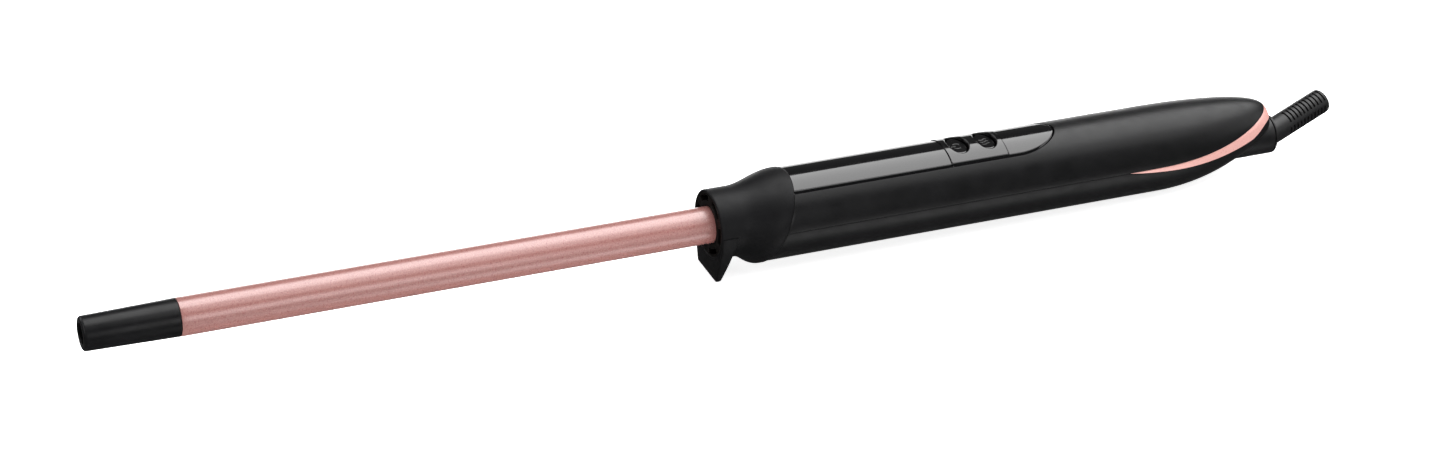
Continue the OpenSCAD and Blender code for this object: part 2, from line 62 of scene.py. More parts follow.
rod_lo, rod_hi = extent("barrel")
TIP_X = extent("tip_cap")[0][0]        # free end of the cool tip
TIP_JOINT_X = rod_lo[0]                # where the tip meets the rod
ROD_END_X = rod_hi[0]
ROD_R = rod_hi[1]
TIP_END_R = 4.5
COLLAR_CREST_R = extent("collar")[1][1]
NECK_R = 9.5                           # collar, outside and inside its mouth
MOUTH_R = 8.6
FOOT_Z = extent("rest_foot")[0][2]
HANDLE_R = -extent("lower_shell")[0][2]
TAIL_END_X = extent("lower_shell")[1][0]
TAIL_X = 134.0                         # where the tail begins to narrow
TAIL_START_X = TAIL_X - 2.0
SCOOP_R = 61.0                         # radius of the tail's hollow underside
NOSE_Z = 4.2                           # top of the tail at its very end
TAIL_BLUNTNESS = 4.3                   # exponent of the curve that rounds the tail off
SHELL_WALL = 1.25                      # wall of the meshes that stand for the shells
JOINT_X = 17.5                         # handle joint on the axis
LEAN = math.tan(math.radians(20.6))    # lean of that joint's plane
SEAM_Z = 0.5
TRIM_X = 121.0                         # the trim's sharp end, low on the side
TRIM_TOP_X = 168.6                     # where its upper edge comes over the tail
TRIM_DIP, TRIM_CLIMB = 8.4, 11.6       # fall and rise of its lower edge along the tail
TRIM_KICK, TRIM_KICK_X, TRIM_KICK_LEN = 2.0, 162.0, 6.5    # extra rise of that edge near the end
TRIM_RISE, TRIM_BOW = 7.96, 2.9        # rise of its upper edge, and how late it comes
TRIM_WALL, TRIM_END_WALL = 1.2, 0.05   # its thickness, and what is left of it at the tail's end
INLAY_SIDE = 7.55
INLAY_END_X = 102.0
INLAY_ROUND = 13.6
INLAY_SEAMS = (68.0, 85.2)
INLAY_GAP = 0.15
CONTROL_PROUD = 0.2
POWER_X, MODE_X = 72.6, 81.0
OPENING_A, OPENING_B = 2.95, 4.4       # half axes of a button opening
DISH_R, DISH_RISE = 30.0, 29.7         # radius of a key's dish and height of its centre over the key
BOSS_Z = -2.15
BOSS_R = 5.4
BOSS_END_X = extent("tail_socket")[1][0]
SWIVEL_X = 172.1                       # face of the swivel's head on the boss
SPINDLE_X, SPINDLE_R = 160.3, 3.95     # inner end and radius of its spindle
SPINDLE_CLEAR_Z = 2.2                  # just above that spindle
HEAD_LEAN = math.radians(9)            # lean of the head's outer face
BEND_X = 172.7
BOOT_ANGLE = math.radians(19.5)        # climb of the strain relief's axis
BOOT_TURN = math.radians(50)           # turn about the boss, from straight up towards +Y
BOOT_R = 3.6
BOOT_LEN = 21.4
STUB_R = 2.75
STUB_LEN = 9.0
WIRE_R = 2.1
CORD_R = 2.6


# ---- mesh helpers -------------------------------------------------------

def filleted(points, radii, steps=6, closed=False):
    """Outline in a plane with its corners rounded. One radius a point, 0 for a sharp corner."""
    pts = [np.array(p, float) for p in points]
    out = []
    for i, (p, r) in enumerate(zip(pts, radii)):
        if r <= 0 or (not closed and i in (0, len(pts) - 1)):
            out.append(p)
            continue
        a, b = pts[i - 1] - p, pts[(i + 1) % len(pts)] - p
        la, lb = np.linalg.norm(a), np.linalg.norm(b)
        a, b = a / la, b / lb
        half = math.acos(max(-1.0, min(1.0, float(a @ b)))) / 2
        cut = min(r / math.tan(half), 0.49 * la, 0.49 * lb)
        rad = cut * math.tan(half)
        mid = (a + b) / np.linalg.norm(a + b)
        c = p + mid * rad / math.sin(half)
        s, e = p + a * cut - c, p + b * cut - c
        a0 = math.atan2(s[1], s[0])
        turn = (math.atan2(e[1], e[0]) - a0 + math.pi) % (2 * math.pi) - math.pi
        for k in range(steps + 1):
            t = a0 + turn * k / steps
            out.append(c + rad * np.array([math.cos(t), math.sin(t)]))
    return np.array(out)


def grid_faces(rows, cols, wrap_rows=False, wrap_cols=False):
    """Quads of a grid whose vertices are numbered row by row."""
    faces = []
    for i in range(rows if wrap_rows else rows - 1):
        for j in range(cols if wrap_cols else cols - 1):
            k, l = (i + 1) % rows, (j + 1) % cols
            faces.append((i * cols + j, i * cols + l, k * cols + l, k * cols + j))
    return faces


def weld(points, faces, *others):
    """Joins vertices that lie on one another and drops faces that vanish."""
    seen, keep, index = {}, [], []
    for i, p in enumerate(np.round(points, 4) + 0.0):
        key = tuple(p)
        if key not in seen:
            seen[key] = len(keep)
            keep.append(i)
        index.append(seen[key])
    out = []
    for f in faces:
        loop = [index[v] for v in f]
        loop = [v for k, v in enumerate(loop) if v != loop[k - 1]]
        if len(loop) >= 3 and len(set(loop)) == len(loop):
            out.append(tuple(loop))
    return [np.asarray(points)[keep], out] + [np.asarray(o)[keep] for o in others]


def thickened(outer, inner, faces):
    """Closed wall between an outer skin and the matching inner skin."""
    outer, faces, inner = weld(outer, faces, inner)
    n = len(outer)
    count = {}
    for f in faces:
        for k, v in enumerate(f):
            e = (f[k - 1], v)
            count[tuple(sorted(e))] = count.get(tuple(sorted(e)), []) + [e]
    rim = [(e[0][1], e[0][0], e[0][0] + n, e[0][1] + n) for e in count.values() if len(e) == 1]
    back = [tuple(v + n for v in reversed(f)) for f in faces]
    return np.vstack([outer, inner]), faces + back + rim


def piece(name, points, faces, body, nodes, slot, sharp=32, weld_first=True):
    """Mesh object from points in mm. It rides on a body and stands for CAD nodes."""
    if weld_first:
        points, faces = weld(points, faces)
    mesh = bpy.data.meshes.new(name)
    mesh.from_pydata([tuple(p) for p in np.asarray(points) * MM], [], faces)
    bm = bmesh.new()
    bm.from_mesh(mesh)
    bmesh.ops.recalc_face_normals(bm, faces=bm.faces)
    bm.to_mesh(mesh)
    bm.free()
    mesh.shade_smooth()
    mesh.set_sharp_from_angle(angle=math.radians(sharp))
    obj = bpy.data.objects.new(name, mesh)
    bpy.context.scene.collection.objects.link(obj)
    obj.data.materials.append(MATERIALS[slot])
    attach(obj, body)
    if nodes:
        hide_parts(*nodes)
    return obj


def turned(profile, segments=128, closed=True):
    """Solid of revolution about X from (x, r) points. Returns points and faces."""
    a = np.linspace(0, 2 * math.pi, segments, endpoint=False)
    x = np.repeat(profile[:, 0][:, None], segments, 1)
    r = profile[:, 1][:, None]
    pts = np.stack([x, r * np.sin(a), r * np.cos(a)], -1).reshape(-1, 3)
    return pts, grid_faces(len(profile), segments, closed, True)


def mirrored_y(points):
    return points * np.array([1.0, -1.0, 1.0])


def eased(a, b, n):
    """n + 1 stations from a to b that crowd towards b."""
    return a + (b - a) * np.sin(np.linspace(0, math.pi / 2, n + 1))


def smooth_step(x, start, length):
    """0 before start, 1 from start + length on, with a soft rise between them."""
    t = np.clip((x - start) / length, 0, 1)
    return t * t * (3 - 2 * t)


# ---- materials ----------------------------------------------------------

def new_material(name):
    mat = bpy.data.materials.new(name)
    mat.use_nodes = True
    tree = mat.node_tree
    return mat, tree, tree.nodes["Principled BSDF"]


def noise(tree, scale, detail=3.0, rough=0.55, stretch=None):
    """Noise over the object's own coordinates. scale is in features a metre."""
    coords = tree.nodes.new("ShaderNodeTexCoord")
    mapping = tree.nodes.new("ShaderNodeMapping")
    if stretch:
        mapping.inputs["Scale"].default_value = stretch
    tex = tree.nodes.new("ShaderNodeTexNoise")
    tex.inputs["Scale"].default_value = scale
    tex.inputs["Detail"].default_value = detail
    tex.inputs["Roughness"].default_value = rough
    tree.links.new(coords.outputs["Object"], mapping.inputs["Vector"])
    tree.links.new(mapping.outputs["Vector"], tex.inputs["Vector"])
    return tex.outputs["Fac"]


def ranged(tree, value, low, high, from_low=0.3, from_high=0.7):
    node = tree.nodes.new("ShaderNodeMapRange")
    for key, v in (("From Min", from_low), ("From Max", from_high), ("To Min", low), ("To Max", high)):
        node.inputs[key].default_value = v
    tree.links.new(value, node.inputs["Value"])
    return node.outputs["Result"]


def ramp(tree, value, stops):
    node = tree.nodes.new("ShaderNodeValToRGB")
    node.color_ramp.elements[0].position, node.color_ramp.elements[0].color = stops[0][0], (*stops[0][1], 1)
    node.color_ramp.elements[1].position, node.color_ramp.elements[1].color = stops[-1][0], (*stops[-1][1], 1)
    for pos, col in stops[1:-1]:
        node.color_ramp.elements.new(pos).color = (*col, 1)
    tree.links.new(value, node.inputs["Fac"])
    return node.outputs["Color"]


def bumped(tree, shader, value, strength, distance):
    node = tree.nodes.new("ShaderNodeBump")
    node.inputs["Strength"].default_value = strength
    node.inputs["Distance"].default_value = distance * MM
    tree.links.new(value, node.inputs["Height"])
    tree.links.new(node.outputs["Normal"], shader.inputs["Normal"])


def moulded(name, dark, light, rough, grain_mm=0.25, grain=0.15, cloud_mm=9.0, coat=0.0, coat_rough=0.1,
            metallic=0.0, specular=0.5, rough_swing=0.05, stretch=None):
    """Moulded or coated surface: clouded colour, wandering roughness and a fine grain."""
    mat, tree, shader = new_material(name)
    shader.inputs["Metallic"].default_value = metallic
    shader.inputs["Specular IOR Level"].default_value = specular
    shader.inputs["Coat Weight"].default_value = coat
    shader.inputs["Coat Roughness"].default_value = coat_rough
    cloud = noise(tree, 1000 / cloud_mm, 4.0)
    tree.links.new(ramp(tree, cloud, [(0.3, dark), (0.7, light)]), shader.inputs["Base Color"])
    patches = noise(tree, 1000 / (cloud_mm * 0.4), 3.0)
    tree.links.new(ranged(tree, patches, rough - rough_swing, rough + rough_swing),
                   shader.inputs["Roughness"])
    bumped(tree, shader, noise(tree, 1000 / grain_mm, 2.0, stretch=stretch), grain, 0.02)
    return mat


def rose_coat(name, deep, mid, pale, rough, metallic, coat, speck_mm, grain):
    """Rose gold lacquer with fine flakes under a clear coat."""
    mat, tree, shader = new_material(name)
    shader.inputs["Metallic"].default_value = metallic
    shader.inputs["Coat Weight"].default_value = coat
    shader.inputs["Coat Roughness"].default_value = rough
    fleck = noise(tree, 1000 / speck_mm, 1.5, 0.7)
    tree.links.new(ramp(tree, fleck, [(0.32, deep), (0.5, mid), (0.68, pale)]), shader.inputs["Base Color"])
    tree.links.new(ranged(tree, noise(tree, 1000 / (speck_mm * 1.7), 2.0), rough - 0.05, rough + 0.05),
                   shader.inputs["Roughness"])
    bumped(tree, shader, fleck, grain, 0.02)
    return mat


def gray(v, tint=0.0):
    return (v, v, v * (1 + tint))


MATERIALS = {
    "rose_coating": rose_coat("rose_coating", (0.22, 0.09, 0.079), (0.257, 0.107, 0.094),
                              (0.312, 0.142, 0.128), 0.30, 0.05, 0.85, 0.30, 0.10),
    "rose_trim": rose_coat("rose_trim", (0.50, 0.25, 0.225), (0.53, 0.27, 0.24), (0.57, 0.30, 0.27),
                           0.32, 0.10, 0.4, 0.25, 0.03),
    "tip_plastic": moulded("tip_plastic", gray(0.003, 0.1), gray(0.005, 0.1), 0.33, specular=0.16),
    "collar_plastic": moulded("collar_plastic", gray(0.003, 0.12), gray(0.005, 0.12), 0.46, grain=0.3,
                              specular=0.11),
    "vent_plastic": moulded("vent_plastic", (0.003, 0.0024, 0.002), (0.005, 0.004, 0.0034), 0.5, grain=0.2,
                            specular=0.08),
    "shell_plastic": moulded("shell_plastic", gray(0.0025, 0.1), gray(0.004, 0.1), 0.36, grain=0.2,
                             specular=0.2),
    "gloss_plastic": moulded("gloss_plastic", gray(0.002, 0.1), gray(0.003, 0.1), 0.09, grain=0.01,
                             specular=0.5, rough_swing=0.02),
    "outlet_plastic": moulded("outlet_plastic", gray(0.004, 0.1), gray(0.006, 0.1), 0.36, grain=0.18,
                              specular=0.25),
    "boot_rubber": moulded("boot_rubber", gray(0.004, 0.08), gray(0.006, 0.08), 0.40, grain=0.25,
                          specular=0.3),
    "screw_steel": moulded("screw_steel", gray(0.50), gray(0.62), 0.30, metallic=1.0, grain=0.15,
                           stretch=(1, 8, 1)),
    "inner_aluminium": moulded("inner_aluminium", gray(0.60), gray(0.75), 0.35, metallic=1.0, grain=0.2,
                               stretch=(0.1, 1, 1)),
    "ptc_ceramic": moulded("ptc_ceramic", gray(0.05), gray(0.09), 0.7, grain=0.4),
    "contact_brass": moulded("contact_brass", (0.62, 0.42, 0.16), (0.75, 0.55, 0.24), 0.28, metallic=1.0),
    "film_amber": moulded("film_amber", (0.45, 0.18, 0.02), (0.60, 0.27, 0.04), 0.2),
    "sensor_glass": moulded("sensor_glass", (0.03, 0.12, 0.05), (0.06, 0.19, 0.09), 0.3),
    "holder_resin": moulded("holder_resin", gray(0.010), gray(0.016), 0.6, grain=0.3),
    "wire_silicone": moulded("wire_silicone", gray(0.55), gray(0.68), 0.5),
    "fuse_metal": moulded("fuse_metal", (0.55, 0.44, 0.22), (0.68, 0.56, 0.32), 0.3, metallic=1.0),
    "board_laminate": moulded("board_laminate", (0.02, 0.13, 0.05), (0.03, 0.18, 0.07), 0.4),
    "part_resin": moulded("part_resin", gray(0.02), gray(0.03), 0.5, grain=0.3),
    "capacitor_resin": moulded("capacitor_resin", (0.50, 0.30, 0.05), (0.60, 0.38, 0.08), 0.25),
    "led_lens": moulded("led_lens", (0.55, 0.05, 0.02), (0.70, 0.08, 0.03), 0.15),
    "plunger_plastic": moulded("plunger_plastic", (0.60, 0.55, 0.42), (0.68, 0.63, 0.50), 0.4),
}

for part in frame["record"]["subparts"]:
    data = frame["nodes"][part["node"]].data
    data.materials.clear()
    data.materials.append(MATERIALS[part["material_slot"]])


# ---- the handle's form --------------------------------------------------

def tail_top(x):
    u = np.clip((x - TAIL_START_X) / (TAIL_END_X - TAIL_START_X), 0, 1)
    return NOSE_Z + (HANDLE_R - NOSE_Z) * (1 - u ** 2) ** (1 / TAIL_BLUNTNESS)


def tail_bottom(x):
    return SCOOP_R - HANDLE_R - np.sqrt(SCOOP_R ** 2 - np.maximum(0, x - TAIL_X) ** 2)


def handle_section(x):
    """Height of the centre and radius of the handle's round section at a station."""
    x = np.asarray(x, float)
    top, bottom = tail_top(x), tail_bottom(x)
    return (top + bottom) / 2, (top - bottom) / 2


def on_handle(x, psi, depth):
    """Points on the handle. psi runs from the top round to the side, depth is below the skin."""
    mid, rad = handle_section(x)
    return np.stack([x + 0 * psi, (rad - depth) * np.sin(psi), mid + (rad - depth) * np.cos(psi)], -1)


def psi_at_height(x, z):
    """Angle from the top at which the handle's skin is at height z."""
    mid, rad = handle_section(x)
    return np.arccos(np.clip((z - mid) / rad, -1, 1))


def trim_low(x):
    """Height of the trim's lower edge, which is also the lower shell's upper edge."""
    u = np.maximum(0, (x - TRIM_X) / (TAIL_END_X - TRIM_X))
    return SEAM_Z - TRIM_DIP * u + TRIM_CLIMB * u * u + TRIM_KICK * smooth_step(x, TRIM_KICK_X, TRIM_KICK_LEN)


def trim_high(x):
    """Height of the trim's upper edge, which is also the upper shell's lower edge."""
    u = np.clip((x - TRIM_X) / (TRIM_TOP_X - TRIM_X), 0, 1)
    return SEAM_Z + TRIM_RISE * u ** TRIM_BOW


# Last stations of the tail, where it rounds off steeply
TAIL_TIP = TAIL_END_X - np.array([0.36, 0.25, 0.16, 0.09, 0.04, 0.02, 0.014])


def crown_x(drop):
    """Station where the trim's upper edge, lowered by drop, passes over the top of the tail."""
    x = np.linspace(TRIM_TOP_X - 2, TAIL_END_X - 0.1, 4000)
    return x[np.argmax(tail_top(x) <= trim_high(x) - drop)]


def inlay_half(x):
    """Half width of the gloss inlay at a station, 0 past its end."""
    u = np.clip((x - (INLAY_END_X - INLAY_ROUND)) / INLAY_ROUND, 0, 1)
    return INLAY_SIDE * np.sqrt(1 - u * u) * (x < INLAY_END_X)


def joint_warp(x, psi, reach=34.0, back=0.0):
    """Moves the stations near the front so that the first one lies in the leaning joint plane."""
    start = JOINT_X + LEAN * HANDLE_R * np.cos(psi) + back
    t = np.clip((x - JOINT_X) / (reach - JOINT_X), 0, 1)
    return np.where(x < reach, start + (reach - start) * t, x)


EDGE = [(0.0, 0.16), (0.03, 0.075), (0.09, 0.02), (0.18, 0.0)]   # inset and drop of a softened edge
SEAM_DROP = 0.35                       # share of that drop on the shells' long edges


def upper_case():
    x = np.concatenate([
        [JOINT_X + e[0] for e in EDGE], np.linspace(JOINT_X + 1, 88, 50), eased(88.4, INLAY_END_X, 28),
        [INLAY_END_X + 0.1], np.linspace(INLAY_END_X + 1, TRIM_X, 14),
        eased(TRIM_X, crown_x(-0.02) - 0.01, 60)[1:],
    ])
    row_drop = np.array([e[1] for e in EDGE] + [0.0] * (len(x) - len(EDGE)))
    top = np.arcsin(np.minimum((inlay_half(x) + (x <= INLAY_END_X) * 0.05) / HANDLE_R, 1))
    low = psi_at_height(x, trim_high(x) + 0.02)
    low = np.maximum(low, top)
    cols = np.linspace(0, 1, 25)
    span = np.minimum(EDGE[-1][0] / HANDLE_R, (low - top) * 0.3)
    edge_psi = np.stack([low - span * (e[0] / EDGE[-1][0]) for e in EDGE[::-1]], 1)
    inner_psi = top[:, None] + (low - span - top)[:, None] * cols[:-1]
    psi = np.concatenate([inner_psi, edge_psi], 1)
    col_drop = np.concatenate([np.zeros(len(cols) - 1), [e[1] * SEAM_DROP for e in EDGE[::-1]]])
    thin = np.minimum(1, (low - top) * HANDLE_R / 1.5)
    depth = np.maximum(row_drop[:, None], col_drop[None, :] * thin[:, None])
    xs = joint_warp(x[:, None], psi, back=0.02)
    outer = on_handle(xs, psi, depth)
    inner = on_handle(xs, psi, SHELL_WALL + 0 * depth)
    faces = grid_faces(*psi.shape)
    n = psi.size
    outer, inner = outer.reshape(-1, 3), inner.reshape(-1, 3)
    outer = np.vstack([outer, mirrored_y(outer)])
    inner = np.vstack([inner, mirrored_y(inner)])
    faces = faces + [tuple(v + n for v in reversed(f)) for f in faces]
    pts, faces = thickened(outer, inner, faces)
    return piece("upper_case", pts, faces, "handle", ["upper_shell"], "shell_plastic", weld_first=False)


WELL_X = (44.0, 128.0)                 # shell screws under the handle
WELL_R = 2.5
PATCH = 4.0                            # half width of the fine patch round a screw well


def lower_case():
    patch_psi = math.pi - PATCH / HANDLE_R
    x = np.concatenate([
        [JOINT_X + e[0] for e in EDGE], np.linspace(JOINT_X + 1, WELL_X[0] - PATCH, 14),
        np.linspace(WELL_X[0] - PATCH, WELL_X[0] + PATCH, 9)[1:],
        np.linspace(WELL_X[0] + PATCH, TRIM_X, 30)[1:],
        np.linspace(TRIM_X, WELL_X[1] - PATCH, 4)[1:],
        np.linspace(WELL_X[1] - PATCH, WELL_X[1] + PATCH, 9)[1:],
        eased(WELL_X[1] + PATCH, TAIL_END_X - 0.5, 56)[1:], TAIL_TIP,
    ])
    row_drop = np.array([e[1] for e in EDGE] + [0.0] * (len(x) - len(EDGE)))
    top = psi_at_height(x, trim_low(x) - 0.02)
    span = EDGE[-1][0] / np.maximum(handle_section(x)[1], 1.5)
    edge_psi = np.stack([top + span * (e[0] / EDGE[-1][0]) for e in EDGE], 1)
    side = (top + span)[:, None] + (patch_psi - top - span)[:, None] * np.linspace(0, 1, 23)[1:]
    under = np.repeat(np.linspace(patch_psi, math.pi, 5)[None, 1:], len(x), 0)
    psi = np.concatenate([edge_psi, side, under], 1)
    col_drop = np.concatenate([[e[1] * SEAM_DROP for e in EDGE], np.zeros(psi.shape[1] - len(EDGE))])
    depth = np.maximum(row_drop[:, None], col_drop[None, :])
    xs = joint_warp(x[:, None], psi, back=0.02)
    outer = on_handle(xs, psi, depth)
    inner = on_handle(xs, psi, SHELL_WALL + 0 * depth)
    rows, cols = psi.shape
    faces = []
    first_under = cols - 5
    for f in grid_faces(rows, cols):
        i, j = divmod(f[0], cols)
        mid_x = (x[i] + x[i + 1]) / 2
        if j >= first_under and any(abs(mid_x - w) < PATCH for w in WELL_X):
            continue
        faces.append(f)
    n = psi.size
    outer, inner = outer.reshape(-1, 3), inner.reshape(-1, 3)
    outer = [outer, mirrored_y(outer)]
    inner = [inner, mirrored_y(inner)]
    faces = faces + [tuple(v + n for v in reversed(f)) for f in faces]
    total = 2 * n
    for w in WELL_X:
        along = np.linspace(w - PATCH, w + PATCH, 9)
        across = np.sin(np.linspace(patch_psi, math.pi, 5))
        across = np.concatenate([across, -across[-2::-1]]) * HANDLE_R
        edge = [(a, across[0]) for a in along[:-1]] + [(along[-1], b) for b in across[:-1]]
        edge += [(a, across[-1]) for a in along[:0:-1]] + [(along[0], b) for b in across[:0:-1]]
        edge = np.array(edge)
        turn = np.arctan2(edge[:, 1], edge[:, 0] - w)
        hole = np.stack([w + WELL_R * np.cos(turn), WELL_R * np.sin(turn)], -1)
        rim = [(0.0, 0.12), (0.05, 0.03), (0.14, 0.0), (0.4, 0.0), (1.0, 0.0)]
        rings, dips = [], []
        for t, dip in rim:
            ring = hole + (edge - hole) * t
            rings.append(ring)
            dips.append(dip)
        for dips_now, store in ((dips, outer), ([SHELL_WALL] * len(rings), inner)):
            pts = []
            for ring, dip in zip(rings, dips_now):
                psi_r = math.pi - np.arcsin(ring[:, 1] / HANDLE_R)
                pts.append(np.stack([ring[:, 0], (HANDLE_R - dip) * np.sin(psi_r),
                                     (HANDLE_R - dip) * np.cos(psi_r)], -1))
            store.append(np.concatenate(pts))
        faces += [tuple(v + total for v in f) for f in grid_faces(len(rings), len(edge), False, True)]
        total += len(rings) * len(edge)
    pts, faces = thickened(np.vstack(outer), np.vstack(inner), faces)
    return piece("lower_case", pts, faces, "handle", ["lower_shell"], "shell_plastic", weld_first=False)


def screw_well(name, x):
    """Counterbore wall and floor under a shell screw."""
    mouth, seat, back, hole_r, outer_r = -11.2, -7.5, -6.9, 1.45, 3.2
    profile = np.array([(mouth, WELL_R), (seat, WELL_R), (seat, hole_r), (back, hole_r), (back, outer_r),
                        (mouth, outer_r)])
    profile = filleted(profile, [0.05] * 6, 3, True)
    pts, faces = turned(profile, 64)
    pts = np.stack([pts[:, 1] + x, pts[:, 2], pts[:, 0]], -1)
    return piece(name, pts, faces, "handle", [], "shell_plastic")


def trim():
    """Rose gold blade round the tail: a nearly flat band with a low ridge near its upper edge. The ridge
    fades out before the blade closes over the top of the tail."""
    crown = crown_x(0.03)
    near_crown = crown - np.array([0.2, 0.12, 0.06, 0.03, 0.01, 0.0])
    x = np.concatenate([eased(TRIM_X + 0.05, TAIL_END_X - 0.5, 90), near_crown, TAIL_TIP])
    x = np.sort(x)
    low = psi_at_height(x, trim_low(x) + 0.03)
    high = np.minimum(psi_at_height(x, trim_high(x) - 0.03), low)
    rad = handle_section(x)[1]
    width = (low - high) * rad
    ridge = 0.80
    v = np.array([0, 0.012, 0.03, 0.12, 0.25, 0.4, 0.55, 0.68, 0.76, 0.79, 0.80, 0.81, 0.84, 0.89, 0.93,
                  0.965, 0.988, 1.0])
    rise = np.where(v < ridge, v / ridge, (1 - v) / (1 - ridge))
    fade_x, fade_len = 164.0, 4.4
    lift = (np.minimum(0.05 * width, 0.32) * (1 - smooth_step(x, fade_x, fade_len)))[:, None] * rise[None, :]
    edge = np.interp(v, [0, 0.012, 0.03], [0.14, 0.04, 0.0])[None, :]
    top_edge = np.interp(v, [0.965, 0.988, 1], [0.0, 0.04, 0.14])[None, :]
    edge = edge + top_edge * (1 - smooth_step(x, crown - 0.3, 0.3))[:, None]
    soft = np.minimum(1, width / 3)[:, None]
    psi = low[:, None] + (high - low)[:, None] * v
    depth = edge * soft - lift
    xs = x[:, None] + 0 * psi
    outer = on_handle(xs, psi, depth)
    thinning = 0.9 * smooth_step(x, TAIL_END_X - 2, 1.5)
    last_thinning = TRIM_WALL - 0.9 - TRIM_END_WALL
    inner_depth = TRIM_WALL - thinning - last_thinning * smooth_step(x, TAIL_END_X - 0.5, 0.4)
    inner = on_handle(xs, psi, 0 * psi + np.minimum(inner_depth, rad * 0.6)[:, None])
    faces = grid_faces(*psi.shape)
    n = psi.size
    outer, inner = outer.reshape(-1, 3), inner.reshape(-1, 3)
    outer = np.vstack([outer, mirrored_y(outer)])
    inner = np.vstack([inner, mirrored_y(inner)])
    faces = faces + [tuple(v + n for v in reversed(f)) for f in faces]
    pts, faces = thickened(outer, inner, faces)
    return piece("trim_blade", pts, faces, "handle", ["accent_trim"], "rose_trim", sharp=24, weld_first=False)


def tail_plug():
    """Closes the tail's blunt end between the trim and the outlet boss, above the swivel's spindle."""
    mid, rad = handle_section(TAIL_TIP[4])
    t = np.linspace(0, 2 * math.pi, 64, endpoint=False)
    profile = [(-1.0, 0.0), (-1.0, rad - 0.4), (-0.12, rad - 0.3), (-0.05, rad - 0.34), (-0.03, rad - 0.5),
               (-0.025, (rad - 0.5) / 2), (-0.025, 0.0)]
    squash = np.where(np.cos(t) < 0, (mid - SPINDLE_CLEAR_Z) / rad, 1)
    pts = [np.stack([TAIL_END_X + s + 0 * t, r * np.sin(t), mid + r * np.cos(t) * squash], -1)
           for s, r in profile]
    return piece("tail_plug", np.concatenate(pts), grid_faces(len(pts), len(t), False, True), "handle", [],
                 "shell_plastic")


INLAY_WALL, PANEL_WALL = 1.15, 1.35
# Inset from the inlay's outline and drop below its face, from the outside in
INLAY_EDGE = [(0.04, 0.66), (0.09, 0.57), (0.55, 0.09), (0.66, 0.02), (0.82, 0.0)]
SEAM_SOFT, SEAM_STEP = 0.1, 0.12       # length and drop of the softened ends at the inlay's seams


def inlay_height(y, drop):
    return np.sqrt((HANDLE_R - drop) ** 2 - y ** 2)


def inlay_strip(name, nodes, x0, x1, lean_front=False, round_end=False):
    """Gloss strip between two stations, with bevelled long edges and, if asked, a rounded end."""
    start_round = INLAY_END_X - INLAY_ROUND
    last = INLAY_EDGE[-1][0]
    t = np.linspace(1, 0, 12)[1:]
    rows = []
    stop = start_round if round_end else x1 - SEAM_SOFT
    stations = [x0] + list(np.linspace(x0 + SEAM_SOFT, stop, 8 if round_end else 24))
    stations += [] if round_end else [x1]
    for x in stations:
        right = [(x, INLAY_SIDE - o, d) for o, d in INLAY_EDGE]
        right += [(x, (INLAY_SIDE - last) * k, 0.0) for k in t]
        rows.append(right)
    if round_end:
        for a in np.linspace(math.pi / 2, 0, 33)[1:]:
            c, s = math.cos(a), math.sin(a)
            right = [(start_round + (INLAY_ROUND - o) * c, (INLAY_SIDE - o) * s, d) for o, d in INLAY_EDGE]
            right += [(start_round + (INLAY_ROUND - last) * c, (INLAY_SIDE - last) * s * k, 0.0)
                      for k in t]
            rows.append(right)
    g = np.array(rows)
    g[:, :, 2] += SEAM_STEP * (np.arange(len(g)) == 0)[:, None]
    if not round_end:
        g[:, :, 2] += SEAM_STEP * (np.arange(len(g)) == len(g) - 1)[:, None]
    g = np.concatenate([g, (g * np.array([1, -1, 1]))[:, -2::-1]], 1)
    x, y, d = g[..., 0], g[..., 1], g[..., 2]
    z = inlay_height(y, d)
    if lean_front:
        begin = JOINT_X + LEAN * z + 0.04
        x = begin + (x - x0) / (x1 - x0) * (x1 - begin)
    outer = np.stack([x, y, z], -1).reshape(-1, 3)
    inner = np.stack([x, y, inlay_height(y, INLAY_WALL)], -1).reshape(-1, 3)
    pts, faces = thickened(outer, inner, grid_faces(*x.shape))
    return piece(name, pts, faces, "handle", nodes, "gloss_plastic", weld_first=False)


